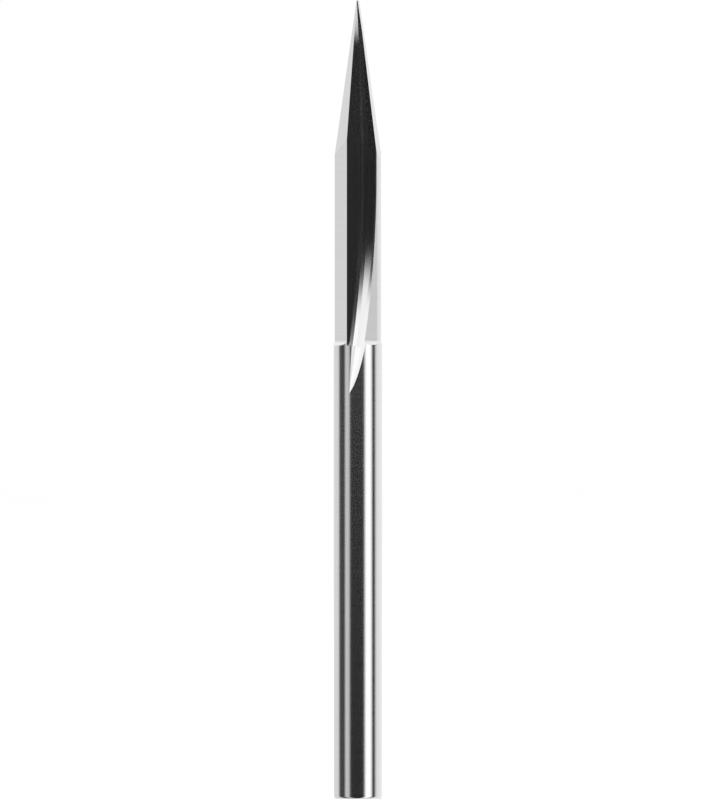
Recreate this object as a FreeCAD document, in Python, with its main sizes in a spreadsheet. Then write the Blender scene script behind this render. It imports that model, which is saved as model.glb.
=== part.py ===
import FreeCAD, Part
import math
import os

import Sketcher

# V-groove router bit: one ground rod of tungsten carbide with an integral shank, two straight
# flutes and a V point. Millimetres. The origin is the centre of the shank's end face and +Z runs
# up the bit to its point. Seen from the front (looking along +Y) a flute faces the viewer, with
# the cutting edge of the tooth at its left: the bit cuts turning right-handed.

NODE = "router_bit"
TEETH = 2

SIZES = [
    ("diameter", 3.175, "ground rod: shank and circle of the cutting edges"),
    ("overall_length", 52.0, "end face to tip"),
    ("end_chamfer", 0.18, "45 degree chamfer round the end face"),
    ("cut_length", 22.5, "tip to the shoulder where the ground lands stop"),
    ("point_angle", 17.8, "included angle of the V"),
    ("tip_width", 0.34, "flat left across the tip"),
    ("edge_clock", 27.0, "cutting edge, to the left of the front"),
    ("rake_offset", 0.622, "rake face, ahead of the centre"),
    ("root_offset", 0.144, "flute root, past the centre from the edge"),
    ("notch_angle", 103.5, "rake face to the wall behind it"),
    ("root_radius", 0.04, "corner of the fluting wheel"),
    ("flute_length", 11.0, "tip to where the fluting wheel lifts out"),
    ("wheel_diameter", 130.0, "fluting wheel"),
    ("relief_angle", 38.3, "flat behind the cutting edge"),
    ("strip_offset", 1.54, "crown of the round strip between a tooth's flats, from the centre"),
    ("strip_radius", 1.3, "round strip's own radius, about a centre set towards its crown"),
    ("heel_clock", 119.0, "middle of the heel flat, behind the cutting edge"),
    ("heel_offset", 1.43, "heel flat, from the centre"),
    ("shoulder_radius", 0.35, "corner of the wheel that ground the lands"),
    ("point_relief", 42.0, "clearance facet behind the edge of the V"),
    ("point_heel_clock", 87.5, "middle of the second facet of the V, behind the edge"),
    ("point_heel_taper", 7.5, "second facet of the V, to the axis"),
    ("overrun", 1.0, "how far a grinding cut runs past what it cuts"),
]

# Places and angles that follow from the sizes.
RADIUS = "sizes.diameter / 2"
HALF_POINT = "(sizes.point_angle / 2 * 1 deg)"
APEX = f"(sizes.overall_length + sizes.tip_width / 2 / tan({HALF_POINT}))"
CONE_BASE = f"({APEX} - {RADIUS} / tan({HALF_POINT}))"
TOP = f"({APEX} + sizes.overrun)"
SHOULDER = "(sizes.overall_length - sizes.cut_length)"
CLEAR = "sizes.diameter"
NOTCH = "(sizes.notch_angle * 1 deg)"

# Turns about the axis, from +X. The front is at -90 degrees.
EDGE = "(-90 deg - sizes.edge_clock * 1 deg)"
RAKE_NORMAL = f"({EDGE} + acos(sizes.rake_offset / ({RADIUS})))"
TO_EDGE = f"({RAKE_NORMAL} - 90 deg)"
RELIEF = f"({EDGE} - sizes.relief_angle * 1 deg)"
HEEL_FLAT = f"({EDGE} - sizes.heel_clock * 1 deg)"
STRIP_MIDDLE = f"(({RELIEF} + {HEEL_FLAT}) / 2)"
POINT_RELIEF = f"({EDGE} - sizes.point_relief * 1 deg)"
POINT_HEEL = f"({EDGE} - sizes.point_heel_clock * 1 deg)"

TOWARDS_Z = FreeCAD.Vector(0, 0, 1)
TOWARDS_Y = FreeCAD.Vector(0, 1, 0)
ORIGIN_POINT = (-1, 1)
START, END, CENTRE = range(1, 4)

doc = FreeCAD.newDocument("router_bit")

sheet = doc.addObject("Spreadsheet::Sheet", "sizes")
for row, (alias, value, note) in enumerate(SIZES, start=1):
    sheet.set(f"A{row}", alias)
    sheet.set(f"B{row}", str(value))
    sheet.set(f"C{row}", note)
    sheet.setAlias(f"B{row}", alias)
doc.recompute()

body = doc.addObject("PartDesign::Body", NODE)
body.Label = NODE
body.Placement = FreeCAD.Placement()


def origin_feature(role):
    """Returns the plane or axis of the body's own origin that has this role."""
    return next(item for item in body.Origin.OriginFeatures if item.Role == role)


def sketch_on(role, name, turn=None, height=None):
    """Adds a sketch to an origin plane, turned about the bit's axis and lifted up it."""
    sketch = body.newObject("Sketcher::SketchObject", name)
    sketch.AttachmentSupport = [(origin_feature(role), "")]
    sketch.MapMode = "FlatFace"
    axis = TOWARDS_Z if role == "XY_Plane" else TOWARDS_Y
    sketch.AttachmentOffset = FreeCAD.Placement(FreeCAD.Vector(), FreeCAD.Rotation(axis, 10))
    if turn is None:
        sketch.AttachmentOffset = FreeCAD.Placement()
    else:
        sketch.setExpression("AttachmentOffset.Rotation.Angle", turn)
    if height is not None:
        sketch.setExpression("AttachmentOffset.Base.z", height)
    return sketch


def value_of(expression):
    """Works an expression out, to draw a sketch near its final place."""
    answer = body.evalExpression(expression)
    return float(getattr(answer, "Value", answer))


def bind(sketch, constraint, expression):
    """Adds a dimension to a sketch and ties it to an expression."""
    index = sketch.addConstraint(constraint)
    sketch.setExpression(f"Constraints[{index}]", expression)


def pin(sketch, geometry, point, across=None, along=None):
    """Dimensions a point of a sketch from the sketch's origin."""
    for kind, place in (("DistanceX", across), ("DistanceY", along)):
        if place is not None:
            distance = Sketcher.Constraint(kind, *ORIGIN_POINT, geometry, point, value_of(place))
            bind(sketch, distance, place)


def line_between(sketch, first, second):
    """Adds a line between two points given as pairs of expressions."""
    start = FreeCAD.Vector(value_of(first[0]), value_of(first[1]), 0)
    end = FreeCAD.Vector(value_of(second[0]), value_of(second[1]), 0)
    return sketch.addGeometry(Part.LineSegment(start, end), False)


def closed_outline(sketch, corners):
    """Draws straight sides round the corners, each corner pinned to its two expressions."""
    sides = [line_between(sketch, corner, corners[(place + 1) % len(corners)])
             for place, corner in enumerate(corners)]
    for place, side in enumerate(sides):
        following = sides[(place + 1) % len(sides)]
        sketch.addConstraint(Sketcher.Constraint("Coincident", side, END, following, START))
    for side, (across, along) in zip(sides, corners):
        pin(sketch, side, START, across, along)


def arc_between(sketch, centre, radius, first_angle, last_angle):
    """Adds an arc, counter-clockwise from the first angle to the last, in degrees."""
    circle = Part.Circle(FreeCAD.Vector(value_of(centre[0]), value_of(centre[1]), 0), TOWARDS_Z,
                         value_of(radius))
    arc = Part.ArcOfCircle(circle, math.radians(first_angle), math.radians(last_angle))
    return sketch.addGeometry(arc, False)


def land_profile(name, turn, distance):
    """Draws what a land wheel takes off: all that lies further out than the distance, down to
    the shoulder, where the wheel's corner leaves its own radius."""
    sketch = sketch_on("XZ_Plane", name, turn)
    corner = (f"{distance} + sizes.shoulder_radius", f"{SHOULDER} + sizes.shoulder_radius")
    wall = line_between(sketch, (distance, corner[1]), (distance, TOP))
    roof = line_between(sketch, (distance, TOP), (CLEAR, TOP))
    outer = line_between(sketch, (CLEAR, TOP), (CLEAR, SHOULDER))
    floor = line_between(sketch, (CLEAR, SHOULDER), (corner[0], SHOULDER))
    round_corner = arc_between(sketch, corner, "sizes.shoulder_radius", 180, 270)
    for first, second in ((wall, roof), (roof, outer), (outer, floor)):
        sketch.addConstraint(Sketcher.Constraint("Coincident", first, END, second, START))
    sketch.addConstraint(Sketcher.Constraint("Tangent", floor, END, round_corner, END))
    sketch.addConstraint(Sketcher.Constraint("Tangent", round_corner, START, wall, START))
    sketch.addConstraint(Sketcher.Constraint("Vertical", wall))
    sketch.addConstraint(Sketcher.Constraint("Horizontal", floor))
    bind(sketch, Sketcher.Constraint("Radius", round_corner, value_of("sizes.shoulder_radius")),
         "sizes.shoulder_radius")
    pin(sketch, roof, START, distance, TOP)
    pin(sketch, outer, START, CLEAR, TOP)
    pin(sketch, floor, START, CLEAR, SHOULDER)
    return sketch


def point_profile(name, turn, slope):
    """Draws what a facet of the V takes off: all outside a line from the apex at this slope."""
    sketch = sketch_on("XZ_Plane", name, turn)
    closed_outline(sketch, [("0", APEX), (CLEAR, APEX), (CLEAR, f"{APEX} - {CLEAR} / {slope}")])
    return sketch


def notch_profile(name, height, rake):
    """Draws the fluting wheel's section: the rake face, the root and the wall behind it. The
    wall keeps its plane whatever the rake face's distance from the centre is."""
    sketch = sketch_on("XY_Plane", name, TO_EDGE, height)
    root = f"({rake} - sizes.rake_offset) / tan({NOTCH}) - sizes.root_offset"
    setback = f"sizes.root_radius / tan({NOTCH} / 2)"
    foot = (f"{root} + {setback}", rake)
    rise = (f"{root} + {setback} * cos({NOTCH})", f"{rake} + {setback} * sin({NOTCH})")
    far = (f"{root} + 2 * {CLEAR} * cos({NOTCH})", f"{rake} + 2 * {CLEAR} * sin({NOTCH})")
    near = (f"{root} + 2 * {CLEAR}", rake)
    face = line_between(sketch, foot, near)
    outer = line_between(sketch, near, far)
    wall = line_between(sketch, far, rise)
    corner = arc_between(sketch, (foot[0], f"{rake} + sizes.root_radius"), "sizes.root_radius",
                         value_of("sizes.notch_angle") + 90, 270)
    sketch.addConstraint(Sketcher.Constraint("Coincident", face, END, outer, START))
    sketch.addConstraint(Sketcher.Constraint("Coincident", outer, END, wall, START))
    sketch.addConstraint(Sketcher.Constraint("Tangent", wall, END, corner, START))
    sketch.addConstraint(Sketcher.Constraint("Tangent", corner, END, face, START))
    pin(sketch, corner, CENTRE, foot[0], f"{rake} + sizes.root_radius")
    pin(sketch, outer, START, *near)
    pin(sketch, wall, START, *far)
    return sketch


def feature(kind, name, **properties):
    """Adds a feature to the body and sets its properties."""
    added = body.newObject(f"PartDesign::{kind}", name)
    for label, value in properties.items():
        setattr(added, label, value)
    return added


def cut_away(name, profile):
    """Cuts a profile right through the body, both ways from its plane."""
    return feature("Pocket", name, Profile=profile, Type="ThroughAll", SideType="Symmetric")


# Stock: the rod turned to its point and chamfered at its end.
stock_profile = sketch_on("XZ_Plane", "stock_profile")
TIP_RADIUS = "sizes.tip_width / 2"
closed_outline(stock_profile, [
    ("0", "0"),
    (f"{RADIUS} - sizes.end_chamfer", "0"),
    (RADIUS, "sizes.end_chamfer"),
    (RADIUS, CONE_BASE),
    (TIP_RADIUS, "sizes.overall_length"),
    ("0", "sizes.overall_length"),
])
doc.recompute()
stock = feature("Revolution", "stock", Profile=stock_profile,
                ReferenceAxis=(stock_profile, ["V_Axis"]), Angle=360)
doc.recompute()

# Lands of one tooth: a flat behind the cutting edge, a round strip and a flat at the heel. The
# strip is relieved eccentrically: the rod swings about an offset centre, from the middle of the
# first flat to the middle of the second.
RELIEF_OFFSET = f"({RADIUS} * cos(sizes.relief_angle * 1 deg))"
relief_flat = cut_away("relief_flat", land_profile("relief_profile", RELIEF, RELIEF_OFFSET))
strip_profile = land_profile("strip_profile", STRIP_MIDDLE, "sizes.strip_offset")
STRIP_CENTRE = "(sizes.strip_offset - sizes.strip_radius)"
swing_line = line_between(strip_profile, (STRIP_CENTRE, SHOULDER), (STRIP_CENTRE, TOP))
strip_profile.setConstruction(swing_line, True)
pin(strip_profile, swing_line, START, STRIP_CENTRE, SHOULDER)
pin(strip_profile, swing_line, END, STRIP_CENTRE, TOP)
round_strip = feature("Groove", "round_strip", Profile=strip_profile,
                      ReferenceAxis=(strip_profile, ["Axis0"]), Midplane=True)
round_strip.setExpression("Angle", "(sizes.heel_clock - sizes.relief_angle) * 1 deg")
heel_flat = cut_away("heel_flat", land_profile("heel_profile", HEEL_FLAT, "sizes.heel_offset"))

# Clearance facets of the V: the first holds the cutting edge, the second runs on to the heel.
FIRST_SLOPE = f"(tan({HALF_POINT}) * cos(sizes.point_relief * 1 deg))"
SECOND_SLOPE = "tan(sizes.point_heel_taper * 1 deg)"
first_profile = point_profile("first_profile", POINT_RELIEF, FIRST_SLOPE)
first_facet = cut_away("first_facet", first_profile)
second_profile = point_profile("second_profile", POINT_HEEL, SECOND_SLOPE)
second_facet = cut_away("second_facet", second_profile)

# Flute: the wheel's section runs straight down from the point and lifts out on its own radius,
# towards the cutting edge and within the plane of the rake face.
flute_profile = notch_profile("flute_profile", TOP, "sizes.rake_offset")
flute_path = sketch_on("XZ_Plane", "flute_path", TO_EDGE)
WHEEL_RADIUS = "sizes.wheel_diameter / 2"
LIFT = "(sizes.overall_length - sizes.flute_length)"
straight = line_between(flute_path, ("-sizes.root_offset", TOP), ("-sizes.root_offset", LIFT))
LIFT_TURN = f"acos(1 - ({CLEAR} + sizes.root_offset) / ({WHEEL_RADIUS}))"
lift = arc_between(flute_path, (f"{WHEEL_RADIUS} - sizes.root_offset", LIFT), WHEEL_RADIUS,
                   180, 180 + value_of(LIFT_TURN))
flute_path.addConstraint(Sketcher.Constraint("Tangent", straight, END, lift, START))
flute_path.addConstraint(Sketcher.Constraint("Vertical", straight))
pin(flute_path, straight, START, "-sizes.root_offset", TOP)
pin(flute_path, straight, END, None, LIFT)
bind(flute_path, Sketcher.Constraint("Radius", lift, value_of(WHEEL_RADIUS)), WHEEL_RADIUS)
pin(flute_path, lift, END, CLEAR)
doc.recompute()
flute = feature("SubtractivePipe", "flute", Profile=flute_profile, Spine=(flute_path, []))
doc.recompute()

# Gash: near the point the same section slants in towards the centre, within the plane of the
# wall, so that its rake face holds the edge of the V. Its root meets the flute's where the V starts.
gash = feature("Pocket", "gash", Profile=notch_profile("gash_profile", APEX, "0"),
               Length=1, UseCustomVector=True, AlongSketchNormal=True)
WALL_TURN = f"({TO_EDGE} + {NOTCH})"
WALL_RUN = f"(sizes.rake_offset / sin({NOTCH}))"
gash.setExpression("Direction.x", f"{WALL_RUN} * cos({WALL_TURN})")
gash.setExpression("Direction.y", f"{WALL_RUN} * sin({WALL_TURN})")
gash.setExpression("Direction.z", f"{CONE_BASE} - {APEX}")
gash.setExpression("Length", f"{APEX} - {CONE_BASE} + sizes.overrun")
doc.recompute()

# The second tooth is the first one turned half a turn.
one_tooth = [relief_flat, round_strip, heel_flat, first_facet, second_facet, flute, gash]
both_teeth = feature("PolarPattern", "both_teeth", Axis=(origin_feature("Z_Axis"), [""]),
                     Angle=360, Occurrences=TEETH, Originals=one_tooth)
body.Tip = both_teeth
doc.recompute()

for item in doc.Objects:
    if {"Invalid", "Error"} & set(item.State):
        raise RuntimeError(f"{item.Name} failed: {item.State}")
if body.Shape.isNull() or not body.Shape.isValid() or len(body.Shape.Solids) != 1:
    raise RuntimeError(f"{body.Label} is not one valid solid")

os.makedirs("parts", exist_ok=True)
body.Shape.exportStep(f"parts/{body.Label}.step")
box = body.Shape.optimalBoundingBox()
extent = " x ".join(f"{length:.3f}" for length in (box.XLength, box.YLength, box.ZLength))
print(f"{body.Label}: {body.Shape.Volume:.3f} mm3, {extent} mm, {len(body.Shape.Faces)} faces")
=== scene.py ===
import logging
import math
from dataclasses import dataclass
from enum import Enum

import bpy
from mathutils import Matrix, Vector


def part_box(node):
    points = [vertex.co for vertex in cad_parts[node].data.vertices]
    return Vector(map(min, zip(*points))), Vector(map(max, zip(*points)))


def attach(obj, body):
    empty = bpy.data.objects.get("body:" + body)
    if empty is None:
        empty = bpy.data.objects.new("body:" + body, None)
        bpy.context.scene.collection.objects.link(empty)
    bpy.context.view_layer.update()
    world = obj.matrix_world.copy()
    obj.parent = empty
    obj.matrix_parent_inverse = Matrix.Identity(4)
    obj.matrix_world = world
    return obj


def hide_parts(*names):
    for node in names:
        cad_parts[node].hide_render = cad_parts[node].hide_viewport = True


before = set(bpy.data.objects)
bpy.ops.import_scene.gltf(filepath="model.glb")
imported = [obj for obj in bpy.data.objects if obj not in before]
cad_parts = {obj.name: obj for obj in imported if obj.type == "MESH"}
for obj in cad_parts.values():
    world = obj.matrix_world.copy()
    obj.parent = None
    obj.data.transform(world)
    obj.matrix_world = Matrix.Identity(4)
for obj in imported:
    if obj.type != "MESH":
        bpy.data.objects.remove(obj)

# A solid carbide V-groove router bit, stood on its shank: one ground rod with a long V point.
# The ground form is modelled in millimetres, like the tool drawing, and brought to metres at
# the end. Azimuths go round the bit from its front: 0 faces the camera, plus is to the right.

log = logging.getLogger("router_bit")

MM = 0.001
NODE = "router_bit"
BODY = "root"
HALF_TURN = math.pi
FRAME_WIDTH_PX = 721
FRAME_HEIGHT_PX = 800


def linear(hex_colour: str) -> tuple[float, float, float, float]:
    """Turns an sRGB hex colour into linear RGBA.

    Args:
        hex_colour: six hex digits after a hash sign.

    Returns:
        The colour for a node's socket, with an alpha of one.
    """
    channels = [int(hex_colour[place:place + 2], 16) / 255 for place in (1, 3, 5)]
    bright = [c / 12.92 if c <= 0.04045 else ((c + 0.055) / 1.055) ** 2.4 for c in channels]
    return (bright[0], bright[1], bright[2], 1.0)


def around(azimuth_deg: float, distance: float = 1.0, height: float = 0.0) -> Vector:
    """Returns the point at an azimuth, a distance from the bit's axis and a height.

    Args:
        azimuth_deg: 0 at the front, plus to the right.
        distance: distance from the axis.
        height: height up the bit.

    Returns:
        The point, in the bit's own frame.
    """
    angle = math.radians(azimuth_deg)
    return Vector((distance * math.sin(angle), -distance * math.cos(angle), height))


def add_node(tree: bpy.types.NodeTree, kind: str, settings: dict | None = None,
             links: dict | None = None) -> bpy.types.Node:
    """Adds a node with its settings and the links into it.

    Args:
        tree: the node tree that gets the node.
        kind: the node's type name.
        settings: attribute names, or input names in an "in:" form, with their values.
        links: input names or numbers, with the output sockets that feed them.

    Returns:
        The new node.
    """
    node = tree.nodes.new(kind)
    for name, value in (settings or {}).items():
        if name.startswith("in:"):
            key = name[3:]
            node.inputs[int(key) if key.isdigit() else key].default_value = value
        else:
            setattr(node, name, value)
    for name, source in (links or {}).items():
        tree.links.new(source, node.inputs[name])
    return node


def start_edit(piece: bpy.types.Object, select: str = "SELECT") -> None:
    """Makes a piece the only selected object and opens it in edit mode.

    Args:
        piece: the object to edit.
        select: SELECT or DESELECT, for what is in its mesh.
    """
    bpy.ops.object.select_all(action="DESELECT")
    piece.select_set(True)
    bpy.context.view_layer.objects.active = piece
    bpy.ops.object.mode_set(mode="EDIT")
    bpy.ops.mesh.select_all(action=select)


def end_edit() -> None:
    """Goes back to object mode."""
    bpy.ops.object.mode_set(mode="OBJECT")


def apply_modifier(piece: bpy.types.Object, name: str) -> None:
    """Applies one modifier of a piece."""
    bpy.ops.object.select_all(action="DESELECT")
    piece.select_set(True)
    bpy.context.view_layer.objects.active = piece
    bpy.ops.object.modifier_apply(modifier=name)


class LineRun(Enum):
    """The way in which a grinding wheel's lines run over a surface."""

    ROUND = "round"
    ALONG = "along"


@dataclass(frozen=True)
class BitForm:
    """The sizes of the ground bit, in millimetres and degrees, as on its drawing."""

    diameter: float
    length: float
    end_chamfer: float = 0.18
    cut_length: float = 22.5
    point_angle: float = 17.8
    tip_width: float = 0.34
    edge_clock: float = 27.0
    rake_offset: float = 0.622
    root_offset: float = 0.144
    notch_angle: float = 103.5
    root_facet: float = 0.16
    flank_turn: float = 60.0
    flank_left: float = 0.40
    flank_tilt: float = 3.6
    flute_length: float = 11.4
    wheel_diameter: float = 130.0
    relief_angle: float = 38.3
    strip_offset: float = 1.54
    strip_radius: float = 1.3
    heel_clock: float = 119.0
    heel_offset: float = 1.43
    shoulder_radius: float = 0.35
    point_relief: float = 42.0
    point_heel_clock: float = 87.5
    point_heel_taper: float = 8.3
    point_heel_drop: float = 0.8
    overrun: float = 1.0

    @property
    def radius(self) -> float:
        """Radius of the rod."""
        return self.diameter / 2

    @property
    def half_point(self) -> float:
        """Half the point's angle, in radians."""
        return math.radians(self.point_angle / 2)

    @property
    def apex(self) -> float:
        """Height at which the lines of the V would meet."""
        return self.length + self.tip_width / 2 / math.tan(self.half_point)

    @property
    def cone_base(self) -> float:
        """Height at which the V reaches the full diameter."""
        return self.apex - self.radius / math.tan(self.half_point)

    @property
    def shoulder(self) -> float:
        """Height at which the ground lands stop."""
        return self.length - self.cut_length

    @property
    def top(self) -> float:
        """Height that clears the tip."""
        return self.apex + self.overrun

    @property
    def edge(self) -> float:
        """Azimuth of the front tooth's cutting edge."""
        return -self.edge_clock

    @property
    def rake_normal(self) -> float:
        """Azimuth that the rake face looks to."""
        return self.edge + math.degrees(math.acos(self.rake_offset / self.radius))

    @property
    def to_edge(self) -> float:
        """Azimuth along the rake face, from the root to the cutting edge."""
        return self.rake_normal - 90

    @property
    def wall_run(self) -> float:
        """Azimuth along the flute's back wall, away from the root."""
        return self.to_edge + self.notch_angle


@dataclass(frozen=True)
class MattEnd:
    """Where a polish fades to a matt grind: heights up the bit and the roughness it gains."""

    start_mm: float
    full_mm: float
    roughness: float


@dataclass(frozen=True)
class GroundFinish:
    """Tungsten carbide as a diamond wheel leaves it: bright, neutral grey, with lines of the grit.

    The line spacing is coarser than real grit marks, so that it shows in a picture."""

    name: str
    colour: str
    dark_colour: str
    roughness: float
    rough_spread: float
    line_run: LineRun
    line_mm: float
    line_depth_mm: float
    wave_mm: float
    wave_depth_mm: float
    matt_end: MattEnd | None = None

    def material(self) -> bpy.types.Material:
        """Builds the procedural material.

        Returns:
            The material, on Object coordinates.
        """
        made = bpy.data.materials.new(self.name)
        made.use_nodes = True
        tree = made.node_tree
        tree.nodes.clear()
        place = add_node(tree, "ShaderNodeTexCoord").outputs["Object"]
        across = 1 / (self.line_mm * MM)
        slow = across / 40
        scale = (slow, slow, across) if self.line_run is LineRun.ROUND else (across, across, slow)
        lined = add_node(tree, "ShaderNodeMapping", {"in:Scale": scale}, {"Vector": place})
        lines = add_node(tree, "ShaderNodeTexNoise",
                         {"in:Scale": 1.0, "in:Detail": 6.0, "in:Roughness": 0.65},
                         {"Vector": lined.outputs[0]})
        wave = 1 / (self.wave_mm * MM)
        waves = add_node(tree, "ShaderNodeTexNoise", {"in:Scale": wave, "in:Detail": 2.0},
                         {"Vector": place})
        tint = add_node(tree, "ShaderNodeMix",
                        {"data_type": "RGBA", "in:6": linear(self.dark_colour), "in:7": linear(self.colour)},
                        {0: lines.outputs[0]})
        rough = add_node(tree, "ShaderNodeMapRange",
                         {"in:From Min": 0.3, "in:From Max": 0.7,
                          "in:To Min": self.roughness, "in:To Max": self.roughness + self.rough_spread},
                         {"Value": lines.outputs[0]})
        swell = add_node(tree, "ShaderNodeBump", {"in:Strength": 1.0, "in:Distance": self.wave_depth_mm * MM},
                         {"Height": waves.outputs[0]})
        grooves = add_node(tree, "ShaderNodeBump", {"in:Strength": 1.0, "in:Distance": self.line_depth_mm * MM},
                           {"Height": lines.outputs[0], "Normal": swell.outputs[0]})
        roughness = rough.outputs[0]
        if self.matt_end:
            up = add_node(tree, "ShaderNodeSeparateXYZ", None, {0: place}).outputs[2]
            matt = add_node(tree, "ShaderNodeMapRange",
                            {"in:From Min": self.matt_end.start_mm * MM, "in:From Max": self.matt_end.full_mm * MM,
                             "in:To Min": 0.0, "in:To Max": self.matt_end.roughness}, {"Value": up})
            added = add_node(tree, "ShaderNodeMath", {"operation": "ADD"}, {0: roughness, 1: matt.outputs[0]})
            roughness = added.outputs[0]
        shader = add_node(tree, "ShaderNodeBsdfPrincipled", {"in:Metallic": 1.0},
                          {"Base Color": tint.outputs[2], "Roughness": roughness,
                           "Normal": grooves.outputs[0]})
        add_node(tree, "ShaderNodeOutputMaterial", None, {"Surface": shader.outputs[0]})
        return made


# Centreless ground and polished: a mirror with hardly a line, so the studio stands in it sharply.
SHANK = GroundFinish("polished_carbide_shank", "#D9D9D9", "#CFCFCF", 0.165, 0.02,
                     LineRun.ROUND, 0.18, 0.00002, 2.5, 0.0001)
# Cylindrically ground lands: rings of the wheel's grit across them, which break up reflections.
LAND = GroundFinish("ground_carbide_land", "#DADADA", "#C9C9C9", 0.16, 0.10,
                    LineRun.ROUND, 0.22, 0.0004, 1.2, 0.0002)
# Clearance facets of the V, ground finer than the lands.
FACET = GroundFinish("fine_ground_carbide_facet", "#DCDCDC", "#D0D0D0", 0.12, 0.06,
                     LineRun.ROUND, 0.12, 0.0001, 0.8, 0.0001)
# Flute faces: polished lengthwise by the fluting wheel, for the chips to slide on.
FLUTE = GroundFinish("polished_carbide_flute", "#E6E6E6", "#DBDBDB", 0.06, 0.03,
                     LineRun.ALONG, 0.10, 0.00014, 1.5, 0.0001)
# Gash face: as the flute, but the last of the wheel's touch leaves it matt towards the tip.
GASH = GroundFinish("matt_tipped_carbide_gash", "#E6E6E6", "#DBDBDB", 0.06, 0.03,
                    LineRun.ALONG, 0.10, 0.00014, 1.5, 0.0001, MattEnd(49.0, 51.5, 0.5))
# Shoulder: turned by the wheel's corner, a little duller.
CORNER = GroundFinish("corner_ground_carbide", "#DDDDDD", "#D2D2D2", 0.22, 0.08,
                      LineRun.ROUND, 0.10, 0.0002, 0.8, 0.0001)


class GrindingCut:
    """What one pass of a wheel takes off: a closed solid, cut from the rod on both teeth."""

    def __init__(self, name: str, cutter: bpy.types.Object, finish: bpy.types.Material) -> None:
        """Keeps the cutter, closes it and gives it the finish that it leaves.

        Args:
            name: what the cut is called.
            cutter: the solid of one tooth's cut.
            finish: the material of the faces that it leaves on the rod.
        """
        self.name = name
        self.cutter = cutter
        cutter.name = f"cut_{name}"
        cutter.data.materials.clear()
        cutter.data.materials.append(finish)
        start_edit(cutter)
        bpy.ops.mesh.remove_doubles(threshold=1e-5)
        bpy.ops.mesh.normals_make_consistent(inside=False)
        end_edit()
        self._add_second_tooth()

    def _add_second_tooth(self) -> None:
        """Joins a copy of the cutter that is turned half a turn."""
        twin = self.cutter.copy()
        twin.data = self.cutter.data.copy()
        twin.data.transform(Matrix.Rotation(HALF_TURN, 4, "Z"))
        bpy.context.collection.objects.link(twin)
        bpy.ops.object.select_all(action="DESELECT")
        twin.select_set(True)
        self.cutter.select_set(True)
        bpy.context.view_layer.objects.active = self.cutter
        bpy.ops.object.join()

    def take_from(self, rod: bpy.types.Object) -> None:
        """Cuts the rod and clears the cutter away.

        Args:
            rod: the piece that is ground.
        """
        cut = rod.modifiers.new(self.name, "BOOLEAN")
        cut.operation = "DIFFERENCE"
        cut.solver = "EXACT"
        cut.material_mode = "TRANSFER"
        cut.object = self.cutter
        apply_modifier(rod, self.name)
        bpy.data.objects.remove(self.cutter, do_unlink=True)
        log.info("%s: %d faces on the rod", self.name, len(rod.data.polygons))


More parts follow.
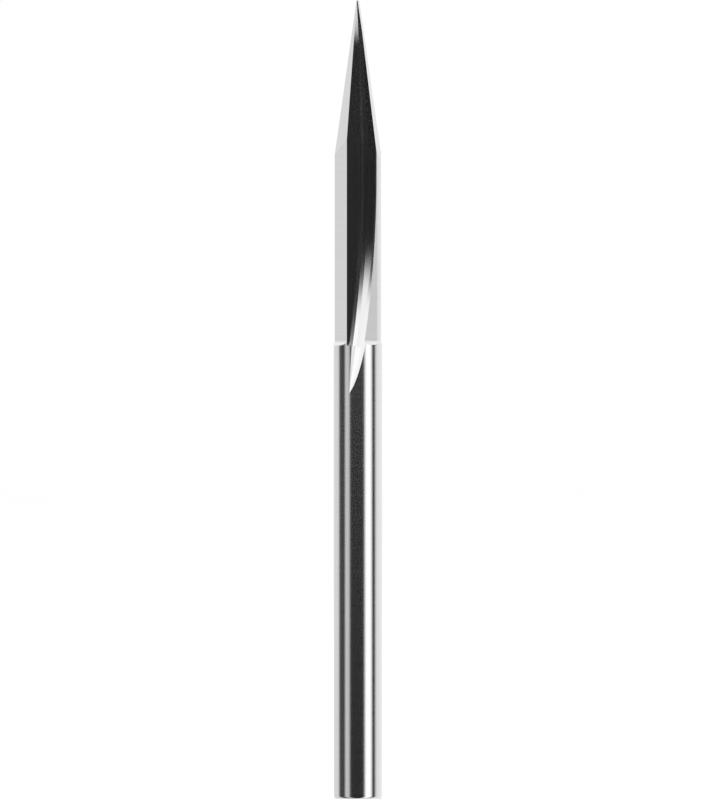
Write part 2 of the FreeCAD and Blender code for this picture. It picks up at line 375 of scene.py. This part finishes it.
@dataclass
class RouterBit:
    """The whole bit: turned stock, then one wheel pass after another."""

    form: BitForm
    round_steps: int = 360
    corner_steps: int = 10
    lift_steps: int = 96
    lift_turn_deg: float = 18.0
    swing_steps: int = 80
    foot_steps: int = 12
    sharp_deg: float = 9.0
    shank_finish: GroundFinish = SHANK
    land_finish: GroundFinish = LAND
    facet_finish: GroundFinish = FACET
    flute_finish: GroundFinish = FLUTE
    gash_finish: GroundFinish = GASH
    corner_finish: GroundFinish = CORNER

    def build(self) -> bpy.types.Object:
        """Makes the bit.

        Returns:
            The finished piece, in metres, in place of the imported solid.
        """
        finishes = {finish.name: finish.material() for finish in
                    (self.shank_finish, self.land_finish, self.facet_finish, self.flute_finish,
                     self.gash_finish, self.corner_finish)}
        rod = self._turned_stock()
        rod.data.materials.append(finishes[self.shank_finish.name])
        land = finishes[self.land_finish.name]
        facet = finishes[self.facet_finish.name]
        flute = finishes[self.flute_finish.name]
        gash = finishes[self.gash_finish.name]
        form = self.form
        relief_distance = form.radius * math.cos(math.radians(form.relief_angle))
        first_slope = math.tan(form.half_point) * math.cos(math.radians(form.point_relief))
        second_slope = math.tan(math.radians(form.point_heel_taper))
        cuts = [
            GrindingCut("relief_flat", self._flat_cutter(form.edge - form.relief_angle, relief_distance), land),
            GrindingCut("round_strip", self._strip_cutter(), land),
            GrindingCut("heel_flat", self._flat_cutter(form.edge - form.heel_clock, form.heel_offset), land),
            GrindingCut("first_facet", self._facet_cutter(form.edge - form.point_relief, first_slope), facet),
            GrindingCut("second_facet", self._facet_cutter(form.edge - form.point_heel_clock, second_slope,
                                                           form.point_heel_drop), facet),
            GrindingCut("flute", self._flute_cutter(), flute),
            GrindingCut("gash", self._gash_cutter(), gash),
        ]
        for cut in cuts:
            cut.take_from(rod)
        self._finish_mesh(rod, finishes[self.corner_finish.name])
        return rod

    def _turned_stock(self) -> bpy.types.Object:
        """Turns the rod: rounded foot, shank, cone and tip, each ring drawn up from the last.

        Returns:
            The stock, in millimetres.
        """
        form = self.form
        turns = [math.radians(90 * step / self.foot_steps) for step in range(self.foot_steps + 1)]
        rings = [(form.radius - form.end_chamfer * (1 - math.sin(turn)), form.end_chamfer * (1 - math.cos(turn)))
                 for turn in turns]
        rings += [(form.radius, form.cone_base), (form.tip_width / 2, form.length)]
        bpy.ops.object.select_all(action="DESELECT")
        bpy.ops.mesh.primitive_circle_add(vertices=self.round_steps, radius=rings[0][0], fill_type="NGON",
                                          location=(0, 0, 0))
        rod = bpy.context.object
        rod.name = "ground_router_bit"
        start_edit(rod)
        for (last_radius, last_height), (radius, height) in zip(rings, rings[1:]):
            bpy.ops.mesh.extrude_region_move(TRANSFORM_OT_translate={"value": (0, 0, height - last_height)})
            grow = radius / last_radius
            bpy.ops.transform.resize(value=(grow, grow, 1), center_override=(0, 0, height))
        bpy.ops.mesh.select_all(action="SELECT")
        bpy.ops.mesh.normals_make_consistent(inside=False)
        end_edit()
        return rod

    def _block(self, turn: float, inner: float, low: float, high: float) -> bpy.types.Object:
        """Adds a block whose inner side is square to an azimuth and this far from the axis.

        Args:
            turn: azimuth that the block lies towards.
            inner: distance of its inner side from the axis.
            low: height of its underside.
            high: height of its top.

        Returns:
            The block.
        """
        size = 2 * self.form.diameter
        bpy.ops.object.select_all(action="DESELECT")
        bpy.ops.mesh.primitive_cube_add(size=1)
        block = bpy.context.object
        block.data.transform(Matrix.Diagonal((size, size, high - low, 1)))
        block.data.transform(Matrix.Translation((0, -inner - size / 2, (low + high) / 2)))
        block.data.transform(Matrix.Rotation(math.radians(turn), 4, "Z"))
        return block

    def _flat_cutter(self, turn: float, distance: float) -> bpy.types.Object:
        """Makes the wheel pass of a flat land, with the wheel's rounded corner at the shoulder.

        Args:
            turn: azimuth that the flat looks to.
            distance: distance of the flat from the axis.

        Returns:
            The cutter.
        """
        form = self.form
        block = self._block(turn, distance, form.shoulder, form.top)
        corner = around(turn, distance, form.shoulder)
        self._round_edge(block, corner, turn)
        return block

    def _round_edge(self, block: bpy.types.Object, corner: Vector, turn: float) -> None:
        """Rounds the block's lower inner edge to the shoulder radius.

        Args:
            block: the block.
            corner: a point in the middle of that edge.
            turn: azimuth that the block lies towards.
        """
        outward = around(turn)
        start_edit(block, "DESELECT")
        bpy.ops.mesh.select_mode(type="EDGE")
        end_edit()
        for edge in block.data.edges:
            ends = [block.data.vertices[place].co for place in edge.vertices]
            edge.select = all(abs((end - corner).dot(outward)) < 1e-4 and abs(end.z - corner.z) < 1e-4
                              for end in ends)
        bpy.ops.object.mode_set(mode="EDIT")
        bpy.ops.mesh.bevel(offset=self.form.shoulder_radius, segments=self.corner_steps, profile=0.5,
                           affect="EDGES")
        end_edit()

    def _strip_cutter(self) -> bpy.types.Object:
        """Makes the pass of the round strip, swung clockwise about its own offset centre.

        Returns:
            The cutter.
        """
        form = self.form
        middle = form.edge - (form.relief_angle + form.heel_clock) / 2
        swing = form.heel_clock - form.relief_angle
        centre = around(middle, form.strip_offset - form.strip_radius)
        sheet = self._block(middle, form.strip_offset, form.shoulder, form.top)
        self._round_edge(sheet, around(middle, form.strip_offset, form.shoulder), middle)
        side = around(middle + 90)
        start_edit(sheet)
        bpy.ops.mesh.bisect(plane_co=(0, 0, 0), plane_no=side, clear_inner=True, clear_outer=True,
                            use_fill=True, threshold=1e-6)
        end_edit()
        sheet.data.transform(Matrix.Translation(centre) @ Matrix.Rotation(math.radians(swing / 2), 4, "Z")
                             @ Matrix.Translation(-centre))
        start_edit(sheet)
        bpy.ops.mesh.spin(steps=self.swing_steps, angle=math.radians(swing), center=centre, axis=(0, 0, 1))
        end_edit()
        return sheet

    def _notch(self, height: float, rake: float) -> bpy.types.Object:
        """Draws the fluting wheel's section: rake face, root and back wall.

        Args:
            height: height of the section.
            rake: distance of the rake face from the axis.

        Returns:
            The section, as one flat face.
        """
        form = self.form
        notch = math.radians(form.notch_angle)
        ahead = around(form.rake_normal)
        edgeward = around(form.to_edge)
        root = edgeward * ((rake - form.rake_offset) / math.tan(notch) - form.root_offset) + ahead * rake
        rise = edgeward * math.cos(notch) + ahead * math.sin(notch)
        reach = 2 * form.diameter
        outline = [root + rise * reach, root + rise * form.root_facet,
                   root + edgeward * form.root_facet, root + edgeward * reach]
        bpy.ops.object.select_all(action="DESELECT")
        bpy.ops.mesh.primitive_circle_add(vertices=len(outline), fill_type="NGON")
        section = bpy.context.object
        for vertex, place in zip(section.data.vertices, outline):
            vertex.co = place + Vector((0, 0, height))
        section.data.update()
        return section

    def _flute_cutter(self) -> bpy.types.Object:
        """Makes the fluting pass: straight down from the point, then out on the wheel's radius.

        Returns:
            The cutter.
        """
        form = self.form
        lift = form.length - form.flute_length
        cutter = self._notch(form.top, form.rake_offset)
        start_edit(cutter)
        bpy.ops.mesh.extrude_region_move(TRANSFORM_OT_translate={"value": (0, 0, lift - form.top)})
        centre = around(form.to_edge, form.wheel_diameter / 2 - form.root_offset, lift)
        axis = around(form.rake_normal)
        bpy.ops.mesh.spin(steps=self.lift_steps, angle=math.radians(self.lift_turn_deg), center=centre, axis=axis)
        bpy.ops.mesh.select_all(action="SELECT")
        bpy.ops.mesh.normals_make_consistent(inside=False)
        end_edit()
        self._keep_shank(cutter)
        return cutter

    def _keep_shank(self, cutter: bpy.types.Object) -> None:
        """Ends the rake face at the shoulder: below it the flute has a steeper flank of its own.

        Args:
            cutter: the fluting pass, which gives way where the shank stays round.
        """
        form = self.form
        brim = Vector((-form.flank_left, -math.sqrt(form.radius ** 2 - form.flank_left ** 2), 0))
        away = around(form.flank_turn - 180)
        guard = self._block(form.flank_turn - 180, brim.dot(away), form.shoulder - 2 * form.diameter,
                            form.shoulder)
        pivot = Vector((-form.flank_left, 0, form.shoulder))
        guard.data.transform(Matrix.Translation(pivot) @ Matrix.Rotation(math.radians(form.flank_tilt), 4, "Y")
                             @ Matrix.Translation(-pivot))
        keep = cutter.modifiers.new("keep_shank", "BOOLEAN")
        keep.operation = "DIFFERENCE"
        keep.solver = "EXACT"
        keep.object = guard
        apply_modifier(cutter, "keep_shank")
        bpy.data.objects.remove(guard, do_unlink=True)

    def _gash_cutter(self) -> bpy.types.Object:
        """Makes the gash: the same section, slanting in to the centre towards the apex.

        Returns:
            The cutter.
        """
        form = self.form
        cutter = self._notch(form.apex, 0.0)
        run = form.rake_offset / math.sin(math.radians(form.notch_angle))
        way = around(form.wall_run, run, form.cone_base - form.apex)
        way *= (form.apex - form.cone_base + form.overrun) / (form.apex - form.cone_base)
        start_edit(cutter)
        bpy.ops.mesh.extrude_region_move(TRANSFORM_OT_translate={"value": way})
        end_edit()
        return cutter

    def _facet_cutter(self, turn: float, slope: float, drop: float = 0.0) -> bpy.types.Object:
        """Makes the pass of a clearance facet, whose plane meets the axis at or near the apex.

        Args:
            turn: azimuth that the facet looks to.
            slope: how far it leaves the axis for each unit further down.
            drop: how far below the apex it meets the axis.

        Returns:
            The cutter.
        """
        form = self.form
        block = self._block(0, 0, form.apex - 8 * form.diameter, form.apex + form.diameter)
        pivot = Vector((0, 0, form.apex - drop))
        tilt = (Matrix.Translation(pivot) @ Matrix.Rotation(math.radians(turn), 4, "Z")
                @ Matrix.Rotation(-math.atan(slope), 4, "X") @ Matrix.Translation(-pivot))
        block.data.transform(tilt)
        return block

    def _finish_mesh(self, rod: bpy.types.Object, corner_material: bpy.types.Material) -> None:
        """Gives the shoulder and the gash's wall their finish, shades the bit and brings it to metres.

        Args:
            rod: the ground rod, in millimetres.
            corner_material: the finish of the shoulder's corner.
        """
        rod.data.materials.append(corner_material)
        slots = {made.name: place for place, made in enumerate(rod.data.materials) if made}
        ahead = around(self.form.rake_normal)
        for face in rod.data.polygons:
            if face.material_index == slots[self.land_finish.name] and abs(face.normal.z) > 0.02:
                face.material_index = slots[self.corner_finish.name]
            elif face.material_index == slots[self.gash_finish.name] and abs(face.normal.dot(ahead)) < 0.8:
                face.material_index = slots[self.flute_finish.name]
        rod.data.transform(Matrix.Scale(MM, 4))
        start_edit(rod)
        bpy.ops.mesh.remove_doubles(threshold=1e-9)
        end_edit()
        bpy.ops.object.shade_smooth_by_angle(angle=math.radians(self.sharp_deg))
        weigh = rod.modifiers.new("weigh", "WEIGHTED_NORMAL")
        weigh.mode = "FACE_AREA"
        weigh.weight = 100
        weigh.thresh = 0.0
        weigh.keep_sharp = True
        apply_modifier(rod, "weigh")
        log.info("%s: %d vertices, %d faces", rod.name, len(rod.data.vertices), len(rod.data.polygons))


@dataclass(frozen=True)
class Stop:
    """One place in the studio's ring: how bright it is at an azimuth, seen from the bit."""

    azimuth: float
    light: float


@dataclass
class Studio:
    """A white tent with black flags beside the camera, a pale table and a soft lamp above."""

    flag_top_deg: float = 9.2
    flag_lean: float = 0.035
    tent_full_deg: float = 12.9
    camera_white: float = 1.0
    table_light: float = 1.08
    lens_mm: float = 600.0
    sensor_mm: float = 36.0
    top_px: float = 0.5
    bottom_px: float = 798.5
    axis_px: float = 357.9
    table_half_m: float = 3.0
    lamp_height_m: float = 0.6
    lamp_size_m: float = 0.5
    lamp_watts: float = 2.0

    RING = (
        Stop(-180, 1.05), Stop(-131, 0.96), Stop(-112, 1.00), Stop(-102, 0.75), Stop(-95, 0.09),
        Stop(-67, 0.05), Stop(-61, 0.75), Stop(-50, 0.85), Stop(-41, 0.60), Stop(-35, 0.022),
        Stop(28.5, 0.020), Stop(32.5, 0.80), Stop(43, 1.70), Stop(60, 1.60), Stop(68, 0.95),
        Stop(75, 0.030), Stop(85, 0.018), Stop(90.5, 0.65), Stop(104, 1.10), Stop(130, 1.15),
        Stop(180, 1.08),
    )
    DOME = (
        Stop(-180, 1.20), Stop(-60, 1.20), Stop(-35, 1.52), Stop(-20, 1.52), Stop(-4, 1.28),
        Stop(5, 1.28), Stop(11, 1.80), Stop(28, 1.80), Stop(45, 1.20), Stop(180, 1.20),
    )

    def build(self, form: BitForm) -> None:
        """Sets the world, the table, the lamp and the camera.

        Args:
            form: the bit's sizes, for the framing.
        """
        self._world()
        self._table()
        self._lamp()
        self._camera(form)

    def _world(self) -> None:
        """Makes the tent as a world: white to the camera, a ring of flags to the metal."""
        world = bpy.data.worlds.new("light_tent")
        bpy.context.scene.world = world
        world.use_nodes = True
        tree = world.node_tree
        tree.nodes.clear()
        way = add_node(tree, "ShaderNodeTexCoord").outputs["Generated"]
        parts = add_node(tree, "ShaderNodeSeparateXYZ", None, {0: way})
        front = add_node(tree, "ShaderNodeMath", {"operation": "MULTIPLY", "in:1": -1.0}, {0: parts.outputs[1]})
        azimuth = add_node(tree, "ShaderNodeMath", {"operation": "ARCTAN2"},
                           {0: parts.outputs[0], 1: front.outputs[0]})
        ring_place = add_node(tree, "ShaderNodeMapRange",
                              {"in:From Min": -math.pi, "in:From Max": math.pi}, {"Value": azimuth.outputs[0]})
        ring, dome = (self._lights_round(tree, ring_place.outputs[0], stops) for stops in (self.RING, self.DOME))
        leant = add_node(tree, "ShaderNodeMath", {"operation": "MULTIPLY_ADD", "in:1": self.flag_lean},
                         {0: front.outputs[0], 2: parts.outputs[2]})
        height = add_node(tree, "ShaderNodeMapRange",
                          {"interpolation_type": "SMOOTHSTEP",
                           "in:From Min": math.sin(math.radians(self.flag_top_deg)),
                           "in:From Max": math.sin(math.radians(self.tent_full_deg)),
                           "in:To Min": 0.0, "in:To Max": 1.0}, {"Value": leant.outputs[0]})
        tent = add_node(tree, "ShaderNodeMix", {"data_type": "FLOAT"},
                        {0: height.outputs[0], 2: ring, 3: dome})
        light_path = add_node(tree, "ShaderNodeLightPath")
        mirrored = add_node(tree, "ShaderNodeMix", {"data_type": "FLOAT", "in:2": self.table_light},
                            {0: light_path.outputs["Is Glossy Ray"], 3: tent.outputs[0]})
        strength = add_node(tree, "ShaderNodeMix", {"data_type": "FLOAT", "in:3": self.camera_white},
                            {0: light_path.outputs["Is Camera Ray"], 2: mirrored.outputs[0]})
        background = add_node(tree, "ShaderNodeBackground", {"in:Color": (1, 1, 1, 1)},
                              {"Strength": strength.outputs[0]})
        add_node(tree, "ShaderNodeOutputWorld", None, {"Surface": background.outputs[0]})
        log.info("light tent: %d stops round the ring", len(self.RING))

    def _lights_round(self, tree: bpy.types.NodeTree, place: bpy.types.NodeSocket,
                      stops: tuple[Stop, ...]) -> bpy.types.NodeSocket:
        """Adds a row of lights and flags that goes once round the bit.

        Args:
            tree: the world's node tree.
            place: the way round, from 0 behind the bit to 1 behind it again.
            stops: how bright it is at each azimuth.

        Returns:
            The brightness.
        """
        ramp = add_node(tree, "ShaderNodeValToRGB", None, {0: place})
        ramp.color_ramp.interpolation = "EASE"
        brightest = max(stop.light for stop in stops)
        elements = ramp.color_ramp.elements
        while len(elements) > 1:
            elements.remove(elements[-1])
        for number, stop in enumerate(stops):
            turn = (stop.azimuth + 180) / 360
            element = elements[0] if number == 0 else elements.new(turn)
            element.position = turn
            level = stop.light / brightest
            element.color = (level, level, level, 1)
        return add_node(tree, "ShaderNodeMath", {"operation": "MULTIPLY", "in:1": brightest},
                        {0: ramp.outputs[0]}).outputs[0]

    def _table(self) -> None:
        """Lays the pale table that the bit stands on. Metal sees the tent through it."""
        bpy.ops.object.select_all(action="DESELECT")
        bpy.ops.mesh.primitive_plane_add(size=2 * self.table_half_m, location=(0, 0, 0))
        table = bpy.context.object
        table.name = "table"
        made = bpy.data.materials.new("matt_white_laminate")
        made.use_nodes = True
        tree = made.node_tree
        tree.nodes.clear()
        place = add_node(tree, "ShaderNodeTexCoord").outputs["Object"]
        grain = add_node(tree, "ShaderNodeTexNoise", {"in:Scale": 40.0}, {"Vector": place})
        tint = add_node(tree, "ShaderNodeMix",
                        {"data_type": "RGBA", "in:6": linear("#F4F4F4"), "in:7": linear("#F8F8F8")},
                        {0: grain.outputs[0]})
        matt = add_node(tree, "ShaderNodeBsdfPrincipled", {"in:Roughness": 0.9, "in:Specular IOR Level": 0.0},
                        {"Base Color": tint.outputs[2]})
        add_node(tree, "ShaderNodeOutputMaterial", None, {"Surface": matt.outputs[0]})
        table.data.materials.append(made)
        table.visible_glossy = False

    def _lamp(self) -> None:
        """Hangs one soft lamp above the bit, for its shadow on the table."""
        bpy.ops.object.select_all(action="DESELECT")
        bpy.ops.object.light_add(type="AREA", location=(0, 0, self.lamp_height_m))
        lamp = bpy.context.object
        lamp.name = "overhead_softbox"
        lamp.data.size = self.lamp_size_m
        lamp.data.energy = self.lamp_watts

    def _camera(self, form: BitForm) -> None:
        """Sets a level camera with a long lens, framed as the photograph is.

        Args:
            form: the bit's sizes.
        """
        millimetres_per_px = form.length / (self.bottom_px - self.top_px)
        frame_height = FRAME_HEIGHT_PX * millimetres_per_px
        away = self.lens_mm * frame_height / self.sensor_mm
        right = (FRAME_WIDTH_PX / 2 - self.axis_px) * millimetres_per_px
        up = form.length - (FRAME_HEIGHT_PX / 2 - self.top_px) * millimetres_per_px
        bpy.ops.object.select_all(action="DESELECT")
        bpy.ops.object.camera_add(location=(right * MM, -away * MM, up * MM), rotation=(math.radians(90), 0, 0))
        camera = bpy.context.object
        camera.name = "level_camera"
        camera.data.lens = self.lens_mm
        camera.data.sensor_width = self.sensor_mm
        camera.data.clip_start = 0.01
        camera.data.clip_end = 20.0
        bpy.context.scene.camera = camera
        bpy.context.scene.view_settings.view_transform = "Standard"
        log.info("camera %.0f mm away, %.4f mm to the pixel", away, millimetres_per_px)


def main() -> None:
    """Builds the bit and its studio, in order."""
    logging.basicConfig(level=logging.INFO, format="%(name)s: %(message)s")
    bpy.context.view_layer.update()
    low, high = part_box(NODE)
    form = BitForm(diameter=round((high.x - low.x) / MM, 3), length=round((high.z - low.z) / MM, 3))
    log.info("rod %.3f mm across, %.3f mm long", form.diameter, form.length)
    bit = RouterBit(form).build()
    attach(bit, BODY)
    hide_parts(NODE)
    log.info("%s rides on %s and stands for %s", bit.name, BODY, NODE)
    Studio().build(form)


if __name__ == "__main__":
    main()
